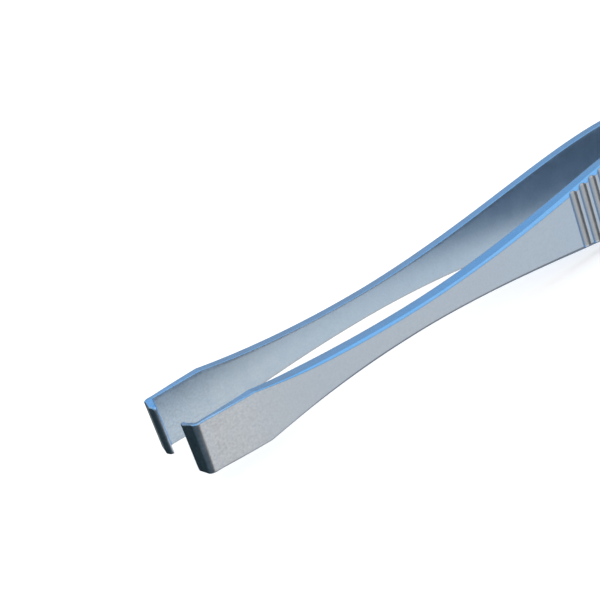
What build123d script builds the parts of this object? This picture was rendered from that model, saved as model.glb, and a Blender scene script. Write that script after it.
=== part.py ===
"""Component extraction tweezers: two sprung steel arms with hooked tips, joined flat at the tail.

X runs along the tool from the tips to the tail, Y across the opening, Z across the arms' width.
The origin is under the middle of the tool, level with the lower edges of the grips, which it rests on.
The sizes below are in millimetres, and places along the arm are measured from the front of the tips.
"""
from build123d import *
import os
from math import radians, tan

# The strip that each arm is stamped from, and the tool's overall length
LENGTH = 150.0
ARM_THICKNESS = 1.9
EDGE_CHAMFER = 0.3

# The strip is forged thinner towards the lip
TIP_THICKNESS = 0.75
THINNED_LENGTH = 20.0

# The lip: the end of the pad, bent inwards to a little short of square, with its front bevelled to a nose
LIP_REACH = 3.6
LIP_LEAN = 15.0
LIP_ROOT = 0.8
LIP_EDGE = 0.28
BEVEL_REACH = 1.0
BEVEL_BACK = 0.32
BEND_OUTSIDE = 0.6
BEND_INSIDE = 0.35
LIP_CORNER = 0.45
NOSE_ROUND = 0.2

# Places along the arm
PAD_START = 2.0
PAD_END = 8.6
TAPER_AT = 19.0
WAIST_AT = 31.5
FLARE_AT = 50.0
SWELL_AT = 62.0
GRIP_END = 104.0

# The arm's width at those places
PAD_WIDTH = 6.5
TAPER_WIDTH = 3.96
WAIST_WIDTH = 3.06
FLARE_WIDTH = 5.5
SWELL_WIDTH = 8.8
GRIP_WIDTH = 11.5
TAIL_WIDTH = 8.0

# How steeply the upper edge leaves the pad and reaches the tail, rise over run
TAPER_SLOPE = -0.19
TAIL_SLOPE = -0.04

# The spread of the arms there, between the middles of the two strips
TIP_SPREAD = 12.36
PAD_SPREAD = 12.72
TAPER_SPREAD = 12.15
WAIST_SPREAD = 11.58
FLARE_SPREAD = 11.12
SWELL_SPREAD = 10.42
GRIP_SPREAD = 9.0
GRIP_END_SPREAD = 5.6

# How steeply each arm spreads outwards from the lip, rise over run
PAD_SPLAY = 0.06

# The tail, where the arms lie face to face
JOINED_LENGTH = 14.0
TAIL_ROUND = 3.5

# Grooves pressed across the outside of each grip
GROOVE_COUNT = 16
GROOVE_PITCH = 1.8
FIRST_GROOVE = 59.6
GROOVE_WIDTH = 1.32
GROOVE_DEPTH = 0.3

# The grip reaches its full width on a ridge between two grooves, after this many of them
FLARED_GROOVES = 10
GRIP_START = FIRST_GROOVE + (FLARED_GROOVES - 0.5) * GROOVE_PITCH

# How many stretches a face's line is worked out in
STRETCHES = 16

# Tolerance for telling edges apart by their length, and how far an outer face may turn from outwards
SAME_LENGTH = 1e-6
OUTWARD_ANGLE = 25.0


def thickness(place):
    """Thickness of the strip at a place along the arm."""
    thinned = max(0.0, 1.0 - place / THINNED_LENGTH)
    return ARM_THICKNESS - (ARM_THICKNESS - TIP_THICKNESS) * thinned**2


def middle_line():
    """The middle of the strip seen from above, from behind the lip to the joined tail."""
    stations = [
        (PAD_START, TIP_SPREAD / 2),
        (PAD_END, PAD_SPREAD / 2),
        (TAPER_AT, TAPER_SPREAD / 2),
        (WAIST_AT, WAIST_SPREAD / 2),
        (FLARE_AT, FLARE_SPREAD / 2),
        (SWELL_AT, SWELL_SPREAD / 2),
        (GRIP_START, GRIP_SPREAD / 2),
        (GRIP_END, GRIP_END_SPREAD / 2),
        (LENGTH - JOINED_LENGTH, ARM_THICKNESS / 2),
    ]
    return Spline(*stations, tangents=[(1, PAD_SPLAY), (1, 0)])


def face_line(side):
    """The line of the strip's inner face (side -1) or outer face (side 1), seen from above."""
    middle = middle_line()
    points = []
    for stretch in range(STRETCHES + 1):
        share = stretch / STRETCHES
        spot = middle @ share
        across = (middle % share).rotate(Axis.Z, 90)
        points.append(spot + across * (side * thickness(spot.X) / 2))
    return Spline(*points, tangents=[middle % 0, middle % 1])


def vertex_at(shape, place):
    """The shape's vertex nearest to a place."""
    return shape.vertices().sort_by_distance(Vector(*place))[0]


def plan_face():
    """The arm seen from above: the strip with its hooked lip and its flat tail."""
    inner = face_line(-1)
    outer = face_line(1)
    bend_y = (outer @ 0).Y
    front_y = bend_y - (LIP_REACH - BEVEL_REACH)
    free_y = bend_y - LIP_REACH
    bend = ((bend_y - front_y) * tan(radians(LIP_LEAN)), bend_y)
    hollow = (bend[0] + LIP_ROOT, (inner @ 0).Y)
    lip = Polyline(
        outer @ 0,
        bend,
        (0, front_y),
        (BEVEL_BACK, free_y),
        (BEVEL_BACK + LIP_EDGE, free_y),
        hollow,
        inner @ 0,
    )
    tail = Polyline(inner @ 1, (LENGTH, 0), (LENGTH, ARM_THICKNESS), outer @ 1)
    face = make_face([lip, inner, tail, outer])
    face = fillet(vertex_at(face, bend), BEND_OUTSIDE)
    return fillet(vertex_at(face, hollow), BEND_INSIDE)


def upper_edge():
    """The arm's upper edge seen from the side: pad, taper, waist, flare, grip and tail."""
    pad_end = (PAD_END, PAD_WIDTH / 2)
    waist = (WAIST_AT, WAIST_WIDTH / 2)
    grip_start = (GRIP_START, GRIP_WIDTH / 2)
    grip_end = (GRIP_END, GRIP_WIDTH / 2)
    tail_end = (LENGTH, TAIL_WIDTH / 2)
    taper = (TAPER_AT, TAPER_WIDTH / 2)
    flare = (FLARE_AT, FLARE_WIDTH / 2)
    swell = (SWELL_AT, SWELL_WIDTH / 2)
    return [
        Line((0, PAD_WIDTH / 2), pad_end),
        Spline(pad_end, taper, waist, tangents=[(1, TAPER_SLOPE), (1, 0)]),
        Spline(waist, flare, swell, grip_start, tangents=[(1, 0), (1, 0)]),
        Line(grip_start, grip_end),
        Spline(grip_end, tail_end, tangents=[(1, 0), (1, TAIL_SLOPE)]),
    ]


def side_face():
    """The arm seen from the side, with its rounded tail."""
    upper = upper_edge()
    lower = [line.mirror(Plane.XZ) for line in upper]
    front = Line((0, -PAD_WIDTH / 2), (0, PAD_WIDTH / 2))
    back = Line((LENGTH, -TAIL_WIDTH / 2), (LENGTH, TAIL_WIDTH / 2))
    face = make_face([*upper, *lower, front, back])
    return fillet(face.vertices().group_by(Axis.X)[-1], TAIL_ROUND)


def blank():
    """The arm as stamped and bent: what both outlines have in common."""
    from_above = extrude(plan_face(), GRIP_WIDTH)
    from_side = extrude(Plane.XZ * side_face(), -(TIP_SPREAD + ARM_THICKNESS))
    return Pos(0, 0, -GRIP_WIDTH / 2) * from_above & from_side


def runs_along(edge):
    """Whether an edge runs more along the tool than across it."""
    direction = edge % 0.5
    return abs(direction.X) > abs(direction.Y) + abs(direction.Z)


def looks_outwards(face):
    """Whether a face belongs to the outside of the arm."""
    return face.normal_at(face.center()).get_angle(Axis.Y.direction) < OUTWARD_ANGLE


def nose_edge(arm):
    """The upright edge where the lip's bevel meets its free edge."""
    free_y = (face_line(1) @ 0).Y - LIP_REACH
    return arm.edges().sort_by_distance(Vector(BEVEL_BACK, free_y, 0))[0]


def break_edges(arm):
    """Rounds the lip's free corners, chamfers the long edges of the outer face and rounds the nose."""
    free_edge = [edge for edge in arm.edges() if abs(edge.length - LIP_EDGE) < SAME_LENGTH]
    arm = fillet(free_edge, LIP_CORNER)
    outer_faces = [face for face in arm.faces() if looks_outwards(face)]
    long_edges = [edge for face in outer_faces for edge in face.edges() if runs_along(edge)]
    arm = chamfer(long_edges, EDGE_CHAMFER)
    return fillet(nose_edge(arm), NOSE_ROUND)


def groove_cutters():
    """One round bar for each groove, sunk into the outer face across the grip."""
    outer = face_line(1)
    radius = (GROOVE_WIDTH**2 / 4 + GROOVE_DEPTH**2) / (2 * GROOVE_DEPTH)
    cutters = []
    for groove in range(GROOVE_COUNT):
        distance = FIRST_GROOVE + groove * GROOVE_PITCH - PAD_START
        share = distance / outer.length
        outwards = (outer % share).rotate(Axis.Z, 90)
        centre = outer @ share + outwards * (radius - GROOVE_DEPTH)
        cutters.append(Pos(*centre) * Cylinder(radius, 2 * GRIP_WIDTH))
    return cutters


def right_arm():
    """The finished arm on the +Y side, in its place above the resting surface."""
    arm = break_edges(blank()) - groove_cutters()
    return Pos(-LENGTH / 2, 0, GRIP_WIDTH / 2) * arm


def main():
    os.makedirs("parts", exist_ok=True)
    right = right_arm()
    left = right.mirror(Plane.XZ)
    export_step(right, "parts/right_arm.step")
    export_step(left, "parts/left_arm.step")
    for name, arm in (("right_arm", right), ("left_arm", left)):
        print(f"{name}: {arm.volume:.0f} cubic millimetres, {len(arm.faces())} faces")


main()
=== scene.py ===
# %% [markdown]
# # Component extraction tweezers
#
# The real tool is two stamped strips of stainless steel. Each is bent, ends in a flat pad whose tip hooks
# inwards, and is spot-welded to the other at the tail. The sizes come from a measured model of the tool,
# which is loaded here as a fixed frame: everything made below has to lie where that model lies.

import math
from collections import namedtuple

import bmesh
import bpy
import numpy as np
from mathutils import Matrix, Vector


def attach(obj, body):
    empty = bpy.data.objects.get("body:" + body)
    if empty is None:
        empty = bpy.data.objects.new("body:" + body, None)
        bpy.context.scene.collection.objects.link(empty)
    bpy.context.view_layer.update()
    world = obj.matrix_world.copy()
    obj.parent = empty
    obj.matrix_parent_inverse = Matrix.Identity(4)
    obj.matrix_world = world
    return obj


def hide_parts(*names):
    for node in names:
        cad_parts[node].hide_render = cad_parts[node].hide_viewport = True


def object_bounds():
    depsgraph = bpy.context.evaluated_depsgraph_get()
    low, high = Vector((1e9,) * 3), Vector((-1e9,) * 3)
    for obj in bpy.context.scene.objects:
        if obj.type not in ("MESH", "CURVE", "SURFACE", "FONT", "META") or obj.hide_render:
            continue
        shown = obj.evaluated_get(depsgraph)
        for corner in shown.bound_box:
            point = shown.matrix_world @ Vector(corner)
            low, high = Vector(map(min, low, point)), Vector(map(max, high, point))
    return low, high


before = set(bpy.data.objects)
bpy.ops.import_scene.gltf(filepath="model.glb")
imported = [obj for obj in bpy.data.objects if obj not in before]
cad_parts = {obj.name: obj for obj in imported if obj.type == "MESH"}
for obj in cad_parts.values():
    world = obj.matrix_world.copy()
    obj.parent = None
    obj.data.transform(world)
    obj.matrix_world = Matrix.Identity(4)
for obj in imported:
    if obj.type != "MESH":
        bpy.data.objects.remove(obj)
model_box = [list(corner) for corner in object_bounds()]
low, high = (np.array(corner) for corner in model_box)
print("pieces to dress:", sorted(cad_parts))

# %% [markdown]
# ## Units
#
# Blender counts in metres here, and a toolmaker in millimetres, so sizes are written in millimetres and
# turned to metres only where Blender gets them. Places along the tool are counted from the front of the
# tips.

# %% Units, and the sizes that come from the model
MM = 0.001
LENGTH, OPENING, GRIP_WIDTH = (high - low) / MM
FRONT = low[0] / MM
MIDDLE_HEIGHT = GRIP_WIDTH / 2
print(f"overall: {LENGTH:.1f} x {OPENING:.1f} x {GRIP_WIDTH:.1f} mm")

# %% [markdown]
# ## The camera
#
# A camera is a place, a direction and a lens. The view was found by matching the tool's edges to the
# picture: a long lens from near the tips, a little above, and turned so that the tool runs uphill.
# Writing it as an aim point, a distance and three angles keeps it readable, and the matrix is built from
# those.

# %% Place the camera
AIM = np.array([-56.06, -5.12, 15.14])
DISTANCE = 193.19
AZIMUTH, ELEVATION, ROLL = (math.radians(angle) for angle in (26.28, 21.23, 19.94))
LENS = 100.1
NEAREST = 10


def camera_axes():
    """The camera's right, up and backward directions."""
    back = np.array([-math.sin(AZIMUTH) * math.cos(ELEVATION), -math.cos(AZIMUTH) * math.cos(ELEVATION),
                     math.sin(ELEVATION)])
    level = np.array([math.cos(AZIMUTH), -math.sin(AZIMUTH), 0])
    raised = np.cross(back, level)
    right = math.cos(ROLL) * level - math.sin(ROLL) * raised
    up = math.sin(ROLL) * level + math.cos(ROLL) * raised
    return right, up, back


right, up, back = camera_axes()
turned = Matrix(np.array([right, up, back]).T.tolist()).to_quaternion()
camera = bpy.data.objects.new("camera", bpy.data.cameras.new("camera"))
camera.data.lens = LENS
camera.data.clip_start = NEAREST * MM
camera.matrix_world = Matrix.LocRotScale(Vector((AIM + DISTANCE * back) * MM), turned, None)
bpy.context.scene.collection.objects.link(camera)
bpy.context.scene.camera = camera
print("camera at", [round(c, 4) for c in camera.location])

# %% [markdown]
# ## The outline of an arm
#
# A stamped strip is described by a few measured stations with a smooth line through them. A clamped cubic
# spline passes through every station, and leaves the first and the last at a chosen slope, as a strip
# does where it runs into a flat stretch. It is a small system of equations for the slopes.

# %% Smooth lines through measured stations
def smooth_line(stations, first_slope=0, last_slope=0):
    """A clamped cubic spline through (place, value) stations, as a function of place."""
    places, values = np.array(stations, float).T
    steps = np.diff(places)
    rises = np.diff(values) / steps
    count = len(places)
    equations = np.eye(count)
    answers = np.zeros(count)
    answers[0], answers[-1] = first_slope, last_slope
    for i in range(1, count - 1):
        equations[i, i - 1 : i + 2] = [1 / steps[i - 1], 2 / steps[i - 1] + 2 / steps[i], 1 / steps[i]]
        answers[i] = 3 * (rises[i - 1] / steps[i - 1] + rises[i] / steps[i])
    slopes = np.linalg.solve(equations, answers)

    def value_at(place):
        i = int(np.clip(np.searchsorted(places, place) - 1, 0, count - 2))
        share = (place - places[i]) / steps[i]
        bulge = ((slopes[i] - rises[i]) * (1 - share) - (slopes[i + 1] - rises[i]) * share) * steps[i]
        return values[i] + share * (values[i + 1] - values[i]) + share * (1 - share) * bulge

    return value_at


# %% [markdown]
# Seen from above, an arm is the middle line of its strip with half its thickness on either side. Each
# station says how far that line lies from the middle of the tool: most at the end of the pad, and only
# half a thickness at the tail, where the arms lie face to face. The strip is forged thinner towards the
# lip, so that it fits under a component.

# %% The arm seen from above, in millimetres
PAD_START, PAD_END = 2.0, 8.6
TAPER_AT, WAIST_AT, FLARE_AT, SWELL_AT = 19.0, 31.5, 50.0, 62.0
GRIP_START, GRIP_END = 76.7, 104.0
JOINED_LENGTH = 14.0
JOIN = LENGTH - JOINED_LENGTH
PAD_SPLAY = 0.06
ARM_THICKNESS, TIP_THICKNESS = 1.9, 0.75
THINNED_LENGTH = 20.0

middle = smooth_line(
    [(PAD_START, 6.18), (PAD_END, 6.36), (TAPER_AT, 6.075), (WAIST_AT, 5.79), (FLARE_AT, 5.56),
     (SWELL_AT, 5.21), (GRIP_START, 4.5), (GRIP_END, 2.8), (JOIN, ARM_THICKNESS / 2)],
    first_slope=PAD_SPLAY)


def thickness(place):
    """Thickness of the strip at a place along the arm."""
    return ARM_THICKNESS - (ARM_THICKNESS - TIP_THICKNESS) * max(0, 1 - place / THINNED_LENGTH) ** 2


print(f"thickness: {thickness(0):.2f} mm at the tip, {thickness(WAIST_AT):.2f} mm at the waist")

# %% [markdown]
# Seen from the side, an arm is a wide pad, a slim waist that lets it bend, and a broad grip for the
# fingers. The upper and the lower edge mirror each other, so half the width says it all.

# %% The arm seen from the side, in millimetres
PAD_WIDTH, TAPER_WIDTH, WAIST_WIDTH = 6.5, 3.96, 3.06
FLARE_WIDTH, SWELL_WIDTH, TAIL_WIDTH = 5.5, 8.8, 8.0
TAPER_SLOPE, TAIL_SLOPE = -0.19, -0.04
TAIL_ROUND = 3.5

taper = smooth_line(
    [(PAD_END, PAD_WIDTH / 2), (TAPER_AT, TAPER_WIDTH / 2), (WAIST_AT, WAIST_WIDTH / 2)],
    first_slope=TAPER_SLOPE)
flare = smooth_line(
    [(WAIST_AT, WAIST_WIDTH / 2), (FLARE_AT, FLARE_WIDTH / 2), (SWELL_AT, SWELL_WIDTH / 2),
     (GRIP_START, GRIP_WIDTH / 2)])
tail = smooth_line([(GRIP_END, GRIP_WIDTH / 2), (LENGTH, TAIL_WIDTH / 2)], last_slope=TAIL_SLOPE)


def half_width(place):
    """Half the strip's width: pad, taper, waist, flare, grip and rounded tail."""
    if place < PAD_END:
        return PAD_WIDTH / 2
    if place < WAIST_AT:
        return taper(place)
    if place < GRIP_START:
        return flare(place)
    if place < GRIP_END:
        return GRIP_WIDTH / 2
    into_round = max(0, place - (LENGTH - TAIL_ROUND))
    return tail(place) - TAIL_ROUND + math.sqrt(TAIL_ROUND**2 - into_round**2)


print("half widths:", [round(float(half_width(place)), 2) for place in (PAD_START, WAIST_AT, GRIP_END)])

# %% [markdown]
# ## The hooked lip
#
# The end of the pad is bent inwards to a little short of square, and its free end is ground to a bevel
# with a rounded nose. Seen from above it is an outline with a few corners, each rounded by its own
# radius. The bend has a large radius outside and a small one inside, as a press gives it. Both sides of
# the strip are divided into as many points, so that each pair of points makes one cross-section of the
# strip.

# %% Lines with rounded corners
def rounded_line(corners, radii, arc_steps, run_steps):
    """Points along a line whose inner corners are arcs. run_steps divides the straight runs."""
    corners = [np.array(corner, float) for corner in corners]
    start = corners[0]
    points = [start]
    for corner, after, radius, steps, run in zip(corners[1:-1], corners[2:], radii, arc_steps, run_steps):
        before = start - corner
        way_in, way_out = before / np.linalg.norm(before), (after - corner) / np.linalg.norm(after - corner)
        half_angle = math.acos(np.clip(way_in @ way_out, -1, 1)) / 2
        reach = radius / math.tan(half_angle)
        first, last = corner + way_in * reach, corner + way_out * reach
        between = (way_in + way_out) / np.linalg.norm(way_in + way_out)
        centre = corner + between * radius / math.sin(half_angle)
        points += [start + (first - start) * share for share in np.arange(1, run) / run]
        turn = math.pi - 2 * half_angle
        for share in np.arange(steps + 1) / steps:
            mix = [math.sin((1 - share) * turn), math.sin(share * turn)]
            points.append(centre + (mix[0] * (first - centre) + mix[1] * (last - centre)) / math.sin(turn))
        start = last
    shares = np.arange(1, run_steps[-1] + 1) / run_steps[-1]
    return points + [start + (corners[-1] - start) * share for share in shares]


# %% Both sides of the strip behind the lip
NUDGE = 0.01


def strip_sides(place):
    """The strip's inner and outer point at a place behind the lip, seen from above."""
    slope = PAD_SPLAY if place <= PAD_START else 0
    if PAD_START < place < JOIN:
        slope = (middle(place + NUDGE) - middle(place - NUDGE)) / (2 * NUDGE)
    across = np.array([-slope, 1]) / math.hypot(1, slope)
    centre = np.array([place, middle(place) if place < JOIN else ARM_THICKNESS / 2])
    return centre - across * thickness(place) / 2, centre + across * thickness(place) / 2


inner_start, outer_start = strip_sides(PAD_START)
print("the pad starts between", inner_start.round(2), "and", outer_start.round(2))

# %% Both sides of the strip round the lip, in millimetres
# How far the lip reaches inwards, how deep its root is, and how far it leans from square
LIP_REACH, LIP_ROOT = 3.6, 0.8
LIP_LEAN = math.radians(15)
# The bevel's height and depth, the width of the free edge, and where on that the two sides meet
BEVEL_REACH, BEVEL_BACK = 1.0, 0.32
LIP_EDGE, EDGE_MIDDLE = 0.28, 0.23
# The radii of the corners
BEND_OUTSIDE, BEND_INSIDE = 0.6, 0.35
BEVEL_BREAK, NOSE_ROUND, EDGE_BREAK = 0.15, 0.27, 0.05
# How many steps the arcs and the straight runs are divided into
BEND_STEPS, LIP_STEPS, BEVEL_STEPS, BREAK_STEPS, NOSE_STEPS = 12, 10, 6, 3, 7


def lip_sides(lean=LIP_LEAN, bend=BEND_OUTSIDE, root=LIP_ROOT):
    """Pairs of inner and outer points round the lip, from the middle of its free edge to the pad."""
    bend_y = outer_start[1]
    front_y, free_y = bend_y - LIP_REACH + BEVEL_REACH, bend_y - LIP_REACH
    bend_x = (bend_y - front_y) * math.tan(lean)
    edge_middle = (BEVEL_BACK + EDGE_MIDDLE, free_y)
    outer = rounded_line(
        [outer_start, (bend_x, bend_y), (0, front_y), (BEVEL_BACK, free_y), edge_middle],
        [bend, BEVEL_BREAK, NOSE_ROUND], [BEND_STEPS, BREAK_STEPS, NOSE_STEPS],
        [1, LIP_STEPS, BEVEL_STEPS, 1])
    inner = rounded_line(
        [inner_start, (bend_x + root, inner_start[1]), (BEVEL_BACK + LIP_EDGE, free_y), edge_middle],
        [BEND_INSIDE, EDGE_BREAK], [BEND_STEPS, NOSE_STEPS],
        [1, LIP_STEPS + BREAK_STEPS + BEVEL_STEPS, 1])
    return list(zip(inner, outer))[-2:0:-1]


print("sections round the lip:", len(lip_sides()))

# %% [markdown]
# ## The cross-section
#
# Every cross-section is a flat bar whose outer edges are chamfered and whose corners are all slightly
# broken, as a stone or a tumbling drum leaves them. Stamping leaves the narrow sides a little out of
# square: in front of the grips they fall outwards, and at the worn tip of the near arm they fall inwards.
# One rounded line draws every section, always with as many points, so that neighbours can be joined by
# plain four-sided faces.

# %% How the section changes along the arm
# The chamfer at places along the arm, and the slope of the narrow sides there, even and with a worn tip
chamfer_size = smooth_line(
    [(0, 0.14), (PAD_START, 0.13), (6.0, 0.10), (10.0, 0.10), (17.0, 0.22), (40.0, 0.25), (60.0, 0.42),
     (LENGTH, 0.45)])
EVEN_FALL = [(0, 0.06), (56, 0.06), (70, 0)]
WORN_FALL = [(0, -0.18), (3, -0.16), (8, -0.06), (15, 0.06), (56, 0.06), (70, 0)]


def fall_at(place, worn):
    """The slope at which the narrow sides fall outwards at a place."""
    return float(np.interp(place, *zip(*(WORN_FALL if worn else EVEN_FALL))))


print(f"chamfer: {chamfer_size(PAD_END):.2f} mm on the pad, {chamfer_size(GRIP_START):.2f} mm on the grip")

# %% Points round one cross-section
CORNER_BREAK, OUTER_BREAK = 0.07, 0.2
CORNER_STEPS, FACE_RUN, CHAMFER_RUN, FLAT_RUN = 3, 7, 7, 4
# This share of an outward fall lowers the outer edge, and the rest of it raises the inner one
FALL_SHARE = 0.25
# On a small section the breaks and the chamfer take at most these shares of its thickness or half width
BREAK_LIMIT, WIDTH_LIMIT, HEIGHT_LIMIT = 0.2, 0.4, 0.3


def section_points(thick, half, chamfer, fall=0.0):
    """One section as (distance out from the inner face, height) pairs, round from the outer face."""
    wide, tall = min(chamfer, WIDTH_LIMIT * thick), min(chamfer, HEIGHT_LIMIT * half)
    inner_break, outer_break = (min(size, BREAK_LIMIT * thick) for size in (CORNER_BREAK, OUTER_BREAK))
    top = half - FALL_SHARE * max(fall, 0) * thick
    corners = [
        (thick, 0), (thick, top - tall), (thick - wide, top + fall * wide), (0, top + fall * thick), (0, 0)]
    upper = np.array(rounded_line(
        corners, [outer_break, inner_break, inner_break], [CORNER_STEPS] * 3,
        [FACE_RUN, CHAMFER_RUN, FLAT_RUN, FACE_RUN]))
    return np.concatenate([upper, upper[-2:0:-1] * (1, -1)])


print("points in a section:", len(section_points(ARM_THICKNESS, GRIP_WIDTH / 2, chamfer_size(GRIP_START))))

# %% [markdown]
# ## The blank arm
#
# The sections are set up along the strip: close together round the lip, at the end of the pad, along the
# grooves and round the tail, and further apart where the strip hardly changes. Joined up, they are the
# blank, as the strip is before its grooves are pressed. The last few are drawn in, which rounds the edges
# of the tail's end face.

# %% Stations along the strip
# The distances between sections on the pad, at its end, on plain stretches and on the grooves
PAD_STEP, PAD_END_STEP, PLAIN_STEP, GROOVE_STEP = 0.4, 0.1, 1.0, 0.09
FIRST_GROOVE, GROOVE_PITCH, GROOVE_COUNT = 59.8, 1.8, 16
BEFORE_GROOVES = 1.0
END_BREAK = 0.12
ROUND_STEPS, END_STEPS = 12, 3


def places_along():
    """Places of the sections from the pad to the start of the tail's end face."""
    grooved = (FIRST_GROOVE - BEFORE_GROOVES, FIRST_GROOVE + GROOVE_COUNT * GROOVE_PITCH)
    stretches = [
        (PAD_START, PAD_END - PAD_STEP, PAD_STEP), (PAD_END - PAD_STEP, PAD_END + PAD_STEP, PAD_END_STEP),
        (PAD_END + PAD_STEP, grooved[0], PLAIN_STEP), (*grooved, GROOVE_STEP),
        (grooved[1], LENGTH - TAIL_ROUND, PLAIN_STEP)]
    places = []
    for first, last, step in stretches:
        places += list(np.linspace(first, last, max(1, round((last - first) / step)), endpoint=False))
    turns = np.linspace(0, math.pi / 2, ROUND_STEPS + 1)
    return places + [LENGTH - TAIL_ROUND + (TAIL_ROUND - END_BREAK) * math.sin(turn) for turn in turns]


print("sections from the pad to the tail:", len(places_along()))

# %% Every section of an arm
LIP_CORNER = 0.45
# A section's inner and outer point, its half width, its place along the arm, how far it is drawn in all
# round, and how far the lip has reached inwards there
Section = namedtuple("Section", "inner outer half place inset reach", defaults=(0, 0))


def lip_half_width(free_distance):
    """Half the lip's width, with its free corners rounded."""
    cut = max(0, LIP_CORNER - free_distance)
    return PAD_WIDTH / 2 - LIP_CORNER + math.sqrt(max(0, LIP_CORNER**2 - cut**2))


def sections():
    """The sections from the lip's free edge to the tail's end."""
    for inner, outer in lip_sides():
        free_distance = (inner[1] + outer[1]) / 2 - outer_start[1] + LIP_REACH
        yield Section(inner, outer, lip_half_width(free_distance), 0, reach=outer_start[1] - outer[1])
    places = places_along()
    for place in places:
        yield Section(*strip_sides(place), half_width(place), place)
    for turn in np.linspace(0, math.pi / 2, END_STEPS + 1)[1:]:
        place = LENGTH - END_BREAK + END_BREAK * math.sin(turn)
        inset = END_BREAK * (1 - math.cos(turn))
        yield Section(*strip_sides(place), half_width(places[-1]), place, inset)


print("sections in an arm:", len(list(sections())))

# %% [markdown]
# ## The near lip's own lines
#
# The lips are finished by hand, and the near one isn't even. Its bend is wider than the other lip's and its
# front leans less, least of all along the lower edge, and it dips a little towards the nose. So the upper
# and the lower edge get a line of their own, and every point between is mixed from the two by its height.

# %% Points of the uneven lip
# The lean, the radius of the bend outside and the depth of the root, for either edge
UPPER_LINE = (math.radians(10), 1.0, 0.65)
LOWER_LINE = (math.radians(4), 0.85, 0.75)
# How far either edge has dipped for each millimetre that the lip has reached inwards
UPPER_DIP, LOWER_DIP = 0.11, 0.04


def uneven_spot(section, lines, out_share, height):
    """A point of the uneven lip seen from above, and its dip."""
    upper_share = np.clip(0.5 + height / PAD_WIDTH, 0, 1)
    inner, outer = upper_share * np.array(lines[0]) + (1 - upper_share) * np.array(lines[1])
    dip = section.reach * (upper_share * UPPER_DIP + (1 - upper_share) * LOWER_DIP)
    return inner + (outer - inner) * out_share, dip


uneven_lines = list(zip(lip_sides(*UPPER_LINE), lip_sides(*LOWER_LINE)))
print("sections in the uneven lip:", len(uneven_lines))

# %% [markdown]
# ## Joining the sections
#
# Each point of the blank keeps facts that later steps need, as named attributes of the mesh: how far
# along the strip it is, how far it lies below the outer face, which way is outwards, whether it lies on a
# ground edge, and whether it lies on the inner face. The press needs the first three, and the material of
# the steel needs the first and the last two, the last for a painted reflection on the inner faces.

# %% Points and facts of a blank
def blank_points(side, worn):
    """A blank's points section by section, which way is outwards at each, and the other facts by name."""
    points, outwards = [], []
    facts = {"along": [], "below": [], "ground": [], "inner_face_painted_reflection": []}
    distance, last_outer = 0, None
    for i, section in enumerate(sections()):
        thick = np.linalg.norm(section.outer - section.inner)
        out = (section.outer - section.inner) / thick
        distance += 0 if last_outer is None else np.linalg.norm(section.outer - last_outer)
        last_outer = section.outer
        chamfer, fall = chamfer_size(section.place), fall_at(section.place, worn)
        inset = section.inset
        ring = section_points(thick - 2 * inset, section.half - inset, chamfer, fall)
        for depth, height in ring + (inset, 0):
            spot, dip = section.inner + out * depth, 0
            if worn and i < len(uneven_lines):
                spot, dip = uneven_spot(section, uneven_lines[i], depth / thick, height)
            points.append((FRONT + spot[0], side * spot[1], MIDDLE_HEIGHT + height - dip))
            outwards.append((out[0], side * out[1], 0))
            facts["along"].append(distance * MM)
            facts["below"].append((thick - depth) * MM)
            facts["ground"].append(float(abs(height) > section.half - chamfer and depth > CORNER_BREAK))
            # Points on the inner face, which the material paints with a bluer reflection
            facts["inner_face_painted_reflection"].append(float(depth < CORNER_BREAK and abs(height) < section.half))
    return np.array(points) * MM, outwards, facts, len(ring)


def strip_faces(count, size):
    """Four-sided faces between neighbouring sections of so many points, and a face to close either end."""
    faces = []
    for start in range(0, count - size, size):
        for i in range(size):
            after = (i + 1) % size
            faces.append((start + i, start + after, start + size + after, start + size + i))
    return faces + [tuple(range(size)), tuple(range(count - 1, count - size - 1, -1))]


# %% Make the two blanks
def blank_arm(name, side, worn):
    """The blank arm on one side, 1 or -1, with its facts for the grooves and the finish."""
    points, outwards, facts, size = blank_points(side, worn)
    pad_start = facts["along"][len(lip_sides()) * size]
    facts["along"] = np.array(facts["along"]) - pad_start + PAD_START * MM
    mesh = bpy.data.meshes.new(name)
    mesh.from_pydata(points.tolist(), [], strip_faces(len(points), size))
    for title, values in facts.items():
        mesh.attributes.new(title, "FLOAT", "POINT").data.foreach_set("value", np.array(values, np.float32))
    mesh.attributes.new("outwards", "FLOAT_VECTOR", "POINT").data.foreach_set(
        "vector", np.array(outwards, np.float32).ravel())
    work = bmesh.new()
    work.from_mesh(mesh)
    bmesh.ops.recalc_face_normals(work, faces=work.faces)
    work.to_mesh(mesh)
    work.free()
    arm = bpy.data.objects.new(name, mesh)
    bpy.context.scene.collection.objects.link(arm)
    return arm


blanks = {"left_arm": blank_arm("left_strip", -1, True), "right_arm": blank_arm("right_strip", 1, False)}
for node, arm in blanks.items():
    print(node, "blank has", len(arm.data.polygons), "faces")

# %% [markdown]
# ## Adding nodes
#
# Materials, the world and Geometry Nodes are all trees of nodes. One small function adds a node, sets its
# properties, and fills each input with either a value or a link from another node. Two more use it for
# what the materials and the light need most: a mix of two colours, and a new range for a value.

# %% One function for every kind of node
def add(tree, kind, inputs=(), **settings):
    """Adds a node. inputs maps a socket's name or number to a value or to another node's socket."""
    node = tree.nodes.new(kind)
    for name, value in settings.items():
        setattr(node, name, value)
    for key, value in dict(inputs).items():
        if isinstance(value, bpy.types.NodeSocket):
            tree.links.new(value, node.inputs[key])
        else:
            node.inputs[key].default_value = value
    return node


# %% Two kinds of node that are used often
# The Mix node has sockets for every kind of value under the same names, so they are told apart by number
SHARE, NUMBER_A, NUMBER_B, COLOUR_A, COLOUR_B = 0, 2, 3, 6, 7
COLOUR_RESULT = 2


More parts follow.
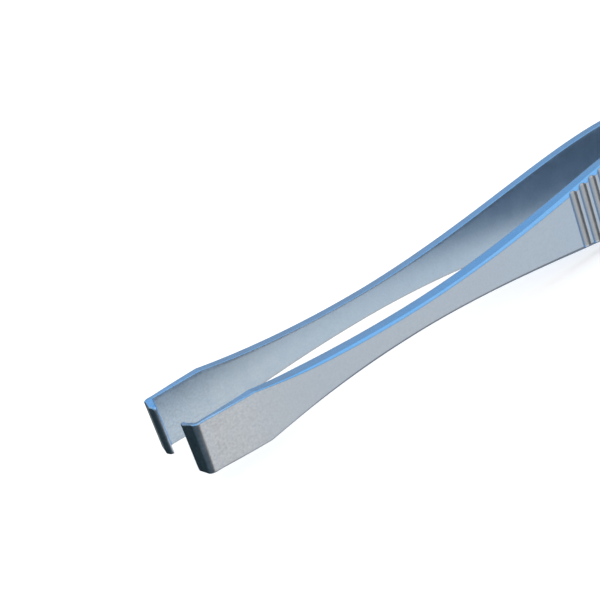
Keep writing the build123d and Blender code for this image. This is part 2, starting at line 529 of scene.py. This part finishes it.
def mix_colours(tree, share, first, second, **settings):
    """Mixes two colours, and returns the socket with the result."""
    inputs = {SHARE: share, COLOUR_A: first, COLOUR_B: second}
    return add(tree, "ShaderNodeMix", inputs, data_type="RGBA", **settings).outputs[COLOUR_RESULT]


def new_range(tree, value, old, new, **settings):
    """Turns values from the old range into the new one, and returns the socket with the result."""
    inputs = {"Value": value, "From Min": old[0], "From Max": old[1], "To Min": new[0], "To Max": new[1]}
    return add(tree, "ShaderNodeMapRange", inputs, **settings).outputs[0]


# %% [markdown]
# A colour picked from a chart is an sRGB code, which bends the numbers to suit the eye. Shaders count
# light itself, so every code is straightened to linear values first.

# %% Colours
def colour(code):
    """A colour written as an sRGB hex code, as linear red, green, blue and alpha."""
    parts = [int(code[i : i + 2], 16) / 255 for i in (1, 3, 5)]
    return [part / 12.92 if part <= 0.04045 else ((part + 0.055) / 1.055) ** 2.4 for part in parts] + [1]


print("half-way grey on a screen gives off", round(colour("#808080")[0], 3), "of the light of white")

# %% [markdown]
# ## Satin stainless steel
#
# The strips are stainless steel, blasted with fine glass beads after stamping, so that they don't glare
# under a lamp. Blasting leaves a soft grey face that blurs what it mirrors, with a faint cloudiness where
# the jet passed more or less often. A real bead crater is about 0.05 mm wide, too fine for the picture,
# and is drawn at 0.3 mm. Noise on the piece's own coordinates draws both. The grain shows most at the tips,
# which wear has roughened, and fades behind the pads.

# %% The grain and the cloudiness
GRAIN, CLOUD = 0.3, 1.6
NOISE_DETAIL = 3
FADE_FROM, FADE_TO, FADED = 3.0, 13.0, 0.3


def fact(tree, name):
    """A fact that the points of the mesh keep, as a socket."""
    return add(tree, "ShaderNodeAttribute", attribute_name=name).outputs["Fac"]


def blasted_surface(tree):
    """Sockets with the cloudiness, the grain, and how strongly the grain shows."""
    place = add(tree, "ShaderNodeTexCoord").outputs["Object"]
    cloud, grain = (
        add(tree, "ShaderNodeTexNoise", {"Vector": place, "Scale": 1 / (size * MM), "Detail": NOISE_DETAIL})
        for size in (CLOUD, GRAIN))
    strength = new_range(tree, fact(tree, "along"), (FADE_FROM * MM, FADE_TO * MM), (1, FADED))
    return cloud.outputs["Fac"], grain.outputs["Fac"], strength


print(f"grain {GRAIN} mm wide, clouds {CLOUD} mm wide")

# %% [markdown]
# The steel's own colour is a light grey, mottled between a darker and a lighter tone. On the inner faces it
# is painted a shade cooler, a painted reflection of the blue light that bounces between the arms. The
# grooves get painted shade, the stronger the deeper a point was pressed, which the press below notes down
# as one more fact.

# %% The colour of the steel, with a painted reflection and painted shade
# Each tone is given for the outer and for the inner faces; the bluer inner tone is a painted reflection of
# blue light
STEEL_DARK_AND_INNER_REFLECTION = colour("#B4B7BA"), colour("#B2BDC5")
STEEL_LIGHT_AND_INNER_REFLECTION = colour("#CCCED0"), colour("#CAD5DD")
GRAIN_SHARE = 0.6
# The range of the noise that goes from the darkest tone to the lightest
MOTTLE_SPAN = 0.38, 0.62
# Painted shade in the grooves: a greyer tone multiplied in, the stronger the deeper a point was pressed
GROOVE_SHADE, GROOVE_SHADE_SHARE = colour("#C4BCB4"), 0.45
GROOVE_DEPTH = 0.30


def steel_colour_and_painted_light(tree, cloud, grain, strength):
    """The colour of the steel with a painted blue reflection on the inner faces and painted shade in the
    grooves, as a socket.
    """
    blotch = add(tree, "ShaderNodeMix", {SHARE: GRAIN_SHARE, NUMBER_A: cloud, NUMBER_B: grain}).outputs[0]
    swing = new_range(tree, blotch, MOTTLE_SPAN, (-0.5, 0.5))
    shade = add(tree, "ShaderNodeMath", {0: swing, 1: strength, 2: 0.5}, operation="MULTIPLY_ADD")
    # The inner faces get a bluer tone, a painted reflection of blue light bounced between the arms
    inner_face_painted_reflection = fact(tree, "inner_face_painted_reflection")
    dark, light = (mix_colours(tree, inner_face_painted_reflection, *tones) for tones in (STEEL_DARK_AND_INNER_REFLECTION, STEEL_LIGHT_AND_INNER_REFLECTION))
    # Painted shade in the grooves, by how deep each point was pressed
    groove_shade = new_range(tree, fact(tree, "pressed"), (0, GROOVE_DEPTH * MM), (0, GROOVE_SHADE_SHARE))
    tint = mix_colours(tree, shade.outputs[0], dark, light)
    return mix_colours(tree, groove_shade, tint, GROOVE_SHADE, blend_type="MULTIPLY")


# %% [markdown]
# The edges are ground and tumbled after the blasting, so they mirror more sharply than the faces. How
# sharply a metal mirrors is its roughness, which also changes a little from cloud to cloud. The craters
# themselves are too shallow to model and only tilt the light, so a bump is enough for them.

# %% Put the steel together
FACE_ROUGHNESS, EDGE_ROUGHNESS, ROUGHNESS_SPREAD = 0.36, 0.28, 0.04
CLOUD_SPAN = 0.3, 0.7
GRAIN_HEIGHT = 0.007


def steel_roughness(tree, cloud):
    """The roughness of the steel, as a socket."""
    finish = new_range(tree, fact(tree, "ground"), (0, 1), (FACE_ROUGHNESS, EDGE_ROUGHNESS))
    change = new_range(tree, cloud, CLOUD_SPAN, (-ROUGHNESS_SPREAD, ROUGHNESS_SPREAD))
    return add(tree, "ShaderNodeMath", {0: finish, 1: change}, operation="ADD").outputs[0]


def satin_steel():
    """Bead-blasted stainless steel with ground edges."""
    material = bpy.data.materials.new("bead_blasted_stainless_steel")
    material.use_nodes = True
    tree = material.node_tree
    shader = tree.nodes["Principled BSDF"]
    shader.inputs["Metallic"].default_value = 1
    cloud, grain, strength = blasted_surface(tree)
    bump = add(tree, "ShaderNodeBump", {
        "Height": grain, "Distance": GRAIN_HEIGHT * MM, "Strength": strength})
    tree.links.new(steel_colour_and_painted_light(tree, cloud, grain, strength), shader.inputs["Base Color"])
    tree.links.new(steel_roughness(tree, cloud), shader.inputs["Roughness"])
    tree.links.new(bump.outputs[0], shader.inputs["Normal"])
    return material


steel = satin_steel()
print("material:", steel.name)

# %% [markdown]
# ## The grip grooves
#
# Shallow round-bottomed grooves are pressed across the outside of each grip, so that it doesn't slip in
# the fingers. They repeat evenly, so Geometry Nodes press them: for each point the tree finds the nearest
# groove, works out how deep the round tool reaches there, and moves the point inwards if it lies above
# that. A smooth maximum instead of a plain one rounds the ridges over, as pressing does.

# %% How deep a point is pressed
def pressed_depth(tree, given, along, below):
    """How far each point has to move inwards, as a socket."""
    def maths(operation, *values):
        return add(tree, "ShaderNodeMath", dict(enumerate(values)), operation=operation).outputs[0]

    reached = maths("SUBTRACT", along, given["First groove"])
    nearest = maths("ROUND", maths("DIVIDE", reached, given["Pitch"]))
    nearest = maths("MINIMUM", maths("MAXIMUM", nearest, 0.0), maths("SUBTRACT", given["Count"], 1.0))
    off_centre = maths("SUBTRACT", reached, maths("MULTIPLY", nearest, given["Pitch"]))
    squares = maths("ADD", maths("POWER", maths("MULTIPLY", given["Width"], 0.5), 2.0),
                    maths("POWER", given["Depth"], 2.0))
    radius = maths("DIVIDE", squares, maths("MULTIPLY", given["Depth"], 2.0))
    chord = maths("SUBTRACT", maths("POWER", radius, 2.0), maths("POWER", off_centre, 2.0))
    reach = maths("SUBTRACT", maths("SQRT", maths("MAXIMUM", chord, 0.0)),
                  maths("SUBTRACT", radius, given["Depth"]))
    return maths("SUBTRACT", maths("SMOOTH_MAX", below, reach, given["Softness"]), below)


# %% Geometry Nodes that press the grooves
def groove_tree():
    """A tree that presses grooves into a mesh that knows its along, below and outwards."""
    tree = bpy.data.node_groups.new("press_grooves", "GeometryNodeTree")
    tree.interface.new_socket("Geometry", in_out="INPUT", socket_type="NodeSocketGeometry")
    tree.interface.new_socket("Geometry", in_out="OUTPUT", socket_type="NodeSocketGeometry")
    for title in ("First groove", "Pitch", "Width", "Depth", "Softness", "Count"):
        tree.interface.new_socket(title, in_out="INPUT", socket_type="NodeSocketFloat")
    tree.interface.new_socket("Material", in_out="INPUT", socket_type="NodeSocketMaterial")
    given = add(tree, "NodeGroupInput").outputs

    def kept(name, kind):
        node = add(tree, "GeometryNodeInputNamedAttribute", {"Name": name}, data_type=kind)
        return node.outputs["Attribute"]

    pressed = pressed_depth(tree, given, kept("along", "FLOAT"), kept("below", "FLOAT"))
    noted = add(
        tree, "GeometryNodeStoreNamedAttribute",
        {"Geometry": given["Geometry"], "Name": "pressed", "Value": pressed},
        data_type="FLOAT", domain="POINT")
    inwards = add(tree, "ShaderNodeMath", {0: pressed, 1: -1.0}, operation="MULTIPLY").outputs[0]
    move = add(tree, "ShaderNodeVectorMath", {0: kept("outwards", "FLOAT_VECTOR"), "Scale": inwards},
               operation="SCALE")
    moved = add(tree, "GeometryNodeSetPosition", {"Geometry": noted.outputs[0], "Offset": move.outputs[0]})
    real = add(tree, "GeometryNodeRealizeInstances", {"Geometry": moved.outputs[0]})
    finished = add(tree, "GeometryNodeSetMaterial", {
        "Geometry": real.outputs[0], "Material": given["Material"]})
    add(tree, "NodeGroupOutput", {0: finished.outputs[0]})
    return tree


# %% Run a tree on an object
def apply_tree(blank, name, tree, values):
    """Runs a tree on an object with named input values, and returns the result as a plain mesh object."""
    modifier = blank.modifiers.new(tree.name, "NODES")
    modifier.node_group = tree
    for item in tree.interface.items_tree:
        if item.in_out == "INPUT" and item.name in values:
            modifier[item.identifier] = values[item.name]
    result = bpy.data.meshes.new_from_object(blank.evaluated_get(bpy.context.evaluated_depsgraph_get()))
    blank.modifiers.remove(modifier)
    result.name = name
    piece = bpy.data.objects.new(name, result)
    bpy.context.scene.collection.objects.link(piece)
    bpy.data.objects.remove(blank)
    return piece


# %% Press both arms
GROOVE_WIDTH, GROOVE_SOFTNESS = 1.32, 0.04

press = groove_tree()
grooves = {"First groove": FIRST_GROOVE * MM, "Pitch": GROOVE_PITCH * MM, "Width": GROOVE_WIDTH * MM,
           "Depth": GROOVE_DEPTH * MM, "Softness": GROOVE_SOFTNESS * MM, "Count": float(GROOVE_COUNT),
           "Material": steel}
arms = {node: apply_tree(blank, node + "_steel", press, grooves) for node, blank in blanks.items()}
for node, arm in arms.items():
    arm.data.shade_smooth()
    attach(arm, "root")
    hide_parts(node)
    print(arm.name, "has", len(arm.data.polygons), "faces")

# %% [markdown]
# ## The floor
#
# The tool lies on a plain white table in an even light, which only leaves a faint shadow where steel
# meets table. Real paper in that light would render a little grey, so the floor adds some light of its
# own that only the camera sees. Mirror rays pass it by, because the studio below says what the steel
# mirrors there.

# %% Lay the floor
FLOOR_SIZE = 4.0
FLOOR_COLOUR = colour("#EBEBEB")
CAMERA_LIFT = 0.43


def white_floor():
    """A plain floor, white to the camera, that still takes the tool's shadow."""
    mesh = bpy.data.meshes.new("floor")
    half = FLOOR_SIZE / 2
    corners = [(-half, -half, 0), (half, -half, 0), (half, half, 0), (-half, half, 0)]
    mesh.from_pydata(corners, [], [(0, 1, 2, 3)])
    floor = bpy.data.objects.new("floor", mesh)
    bpy.context.scene.collection.objects.link(floor)
    finish = bpy.data.materials.new("matt_white_paper")
    finish.use_nodes = True
    tree = finish.node_tree
    tree.nodes.clear()
    path = add(tree, "ShaderNodeLightPath")
    paper = add(tree, "ShaderNodeBsdfDiffuse", {"Color": FLOOR_COLOUR})
    lift = add(tree, "ShaderNodeMath", {0: path.outputs["Is Camera Ray"], 1: CAMERA_LIFT},
               operation="MULTIPLY")
    glow = add(tree, "ShaderNodeEmission", {"Strength": lift.outputs[0]})
    both = add(tree, "ShaderNodeAddShader", {0: paper.outputs[0], 1: glow.outputs[0]})
    add(tree, "ShaderNodeOutputMaterial", {"Surface": both.outputs[0]})
    mesh.materials.append(finish)
    floor.visible_glossy = False
    return floor


white_floor()
print("floor laid")

# %% [markdown]
# ## The light
#
# Steel has hardly any colour of its own to show: what it shows is the room. So the world has two parts.
# Everything but a mirror ray finds plain white light. A mirror ray finds a simple studio of soft patches,
# each round one direction. The blue window on the far side shows in the flats of the upper edges, the
# pale cloud in the chamfers of the pads, the light table in the faces that look at the camera, and the dark
# room ahead of the tips in the fronts of the lips.

# %% The patches of light
# Each is an azimuth and an elevation, how wide it is at its core and at its rim, all in degrees, and its
# light as linear red, green and blue. A later patch covers an earlier one, and the room shows elsewhere.
ROOM = (0.16, 0.155, 0.15)
PATCHES = {
    "sky": ((0, 90), (40, 95), (0.30, 0.86, 1.65)),
    "far window": ((62, 36), (12, 38), (0.21, 0.56, 1.08)),
    "window glow": ((72, 30), (4, 14), (0.20, 0.74, 1.65)),
    "horizon": ((52, 3), (18, 32), (0.34, 0.48, 0.66)),
    "pale cloud": ((-66, 70), (9, 18), (1.00, 1.25, 1.45)),
    "pale ceiling": ((-116, 22), (10, 26), (1.00, 1.25, 1.50)),
    "pale wall": ((131, 40), (15, 32), (0.66, 0.92, 1.14)),
    "tail side": ((32, -15), (30, 46), (0.14, 0.38, 0.78)),
    "under the table": ((0, -90), (32, 44), (0.30, 0.31, 0.33)),
    "light table": ((-62, -21), (22, 36), (0.84, 0.91, 0.98)),
    "table end": ((-40, -21), (10, 20), (0.80, 0.99, 1.18)),
    "tail end": ((-5, -20), (14, 21), (0.12, 0.48, 1.15)),
    "tip light": ((-84, -23), (8, 17), (1.24, 1.22, 1.20)),
    "dark room": ((140, -24), (34, 58), (0.0, 0.022, 0.036)),
    "slate wall": ((205, -22), (28, 44), (0.08, 0.125, 0.17)),
    "far side": ((76, -22), (8, 18), (0.34, 0.39, 0.40)),
}


def direction(azimuth, elevation):
    """The unit vector at an azimuth from +X towards +Y and an elevation, in degrees."""
    turn, lift = math.radians(azimuth), math.radians(elevation)
    return (math.cos(turn) * math.cos(lift), math.sin(turn) * math.cos(lift), math.sin(lift))


print("patches of light:", len(PATCHES))

# %% Light the studio
def studio_world():
    """White for the camera and for matt surfaces, and the patches of light for mirror rays."""
    world = bpy.data.worlds.new("studio")
    bpy.context.scene.world = world
    world.use_nodes = True
    tree = world.node_tree
    tree.nodes.clear()
    look = add(tree, "ShaderNodeTexCoord").outputs["Generated"]
    seen = (*ROOM, 1)
    for aim, widths, light in PATCHES.values():
        facing = add(tree, "ShaderNodeVectorMath", {0: look, 1: direction(*aim)}, operation="DOT_PRODUCT")
        core, rim = (math.cos(math.radians(width)) for width in widths)
        share = new_range(
            tree, facing.outputs["Value"], (rim, core), (0, 1), interpolation_type="SMOOTHSTEP")
        seen = mix_colours(tree, share, seen, (*light, 1), clamp_result=False)
    path = add(tree, "ShaderNodeLightPath")
    studio = add(tree, "ShaderNodeBackground", {"Color": seen})
    plain = add(tree, "ShaderNodeBackground", {"Color": (1, 1, 1, 1)})
    pick = add(tree, "ShaderNodeMixShader", {0: path.outputs["Is Glossy Ray"], 1: plain.outputs[0],
                                             2: studio.outputs[0]})
    add(tree, "ShaderNodeOutputWorld", {"Surface": pick.outputs[0]})
    return world


print("world:", studio_world().name)
bpy.context.scene.view_settings.view_transform = "Standard"
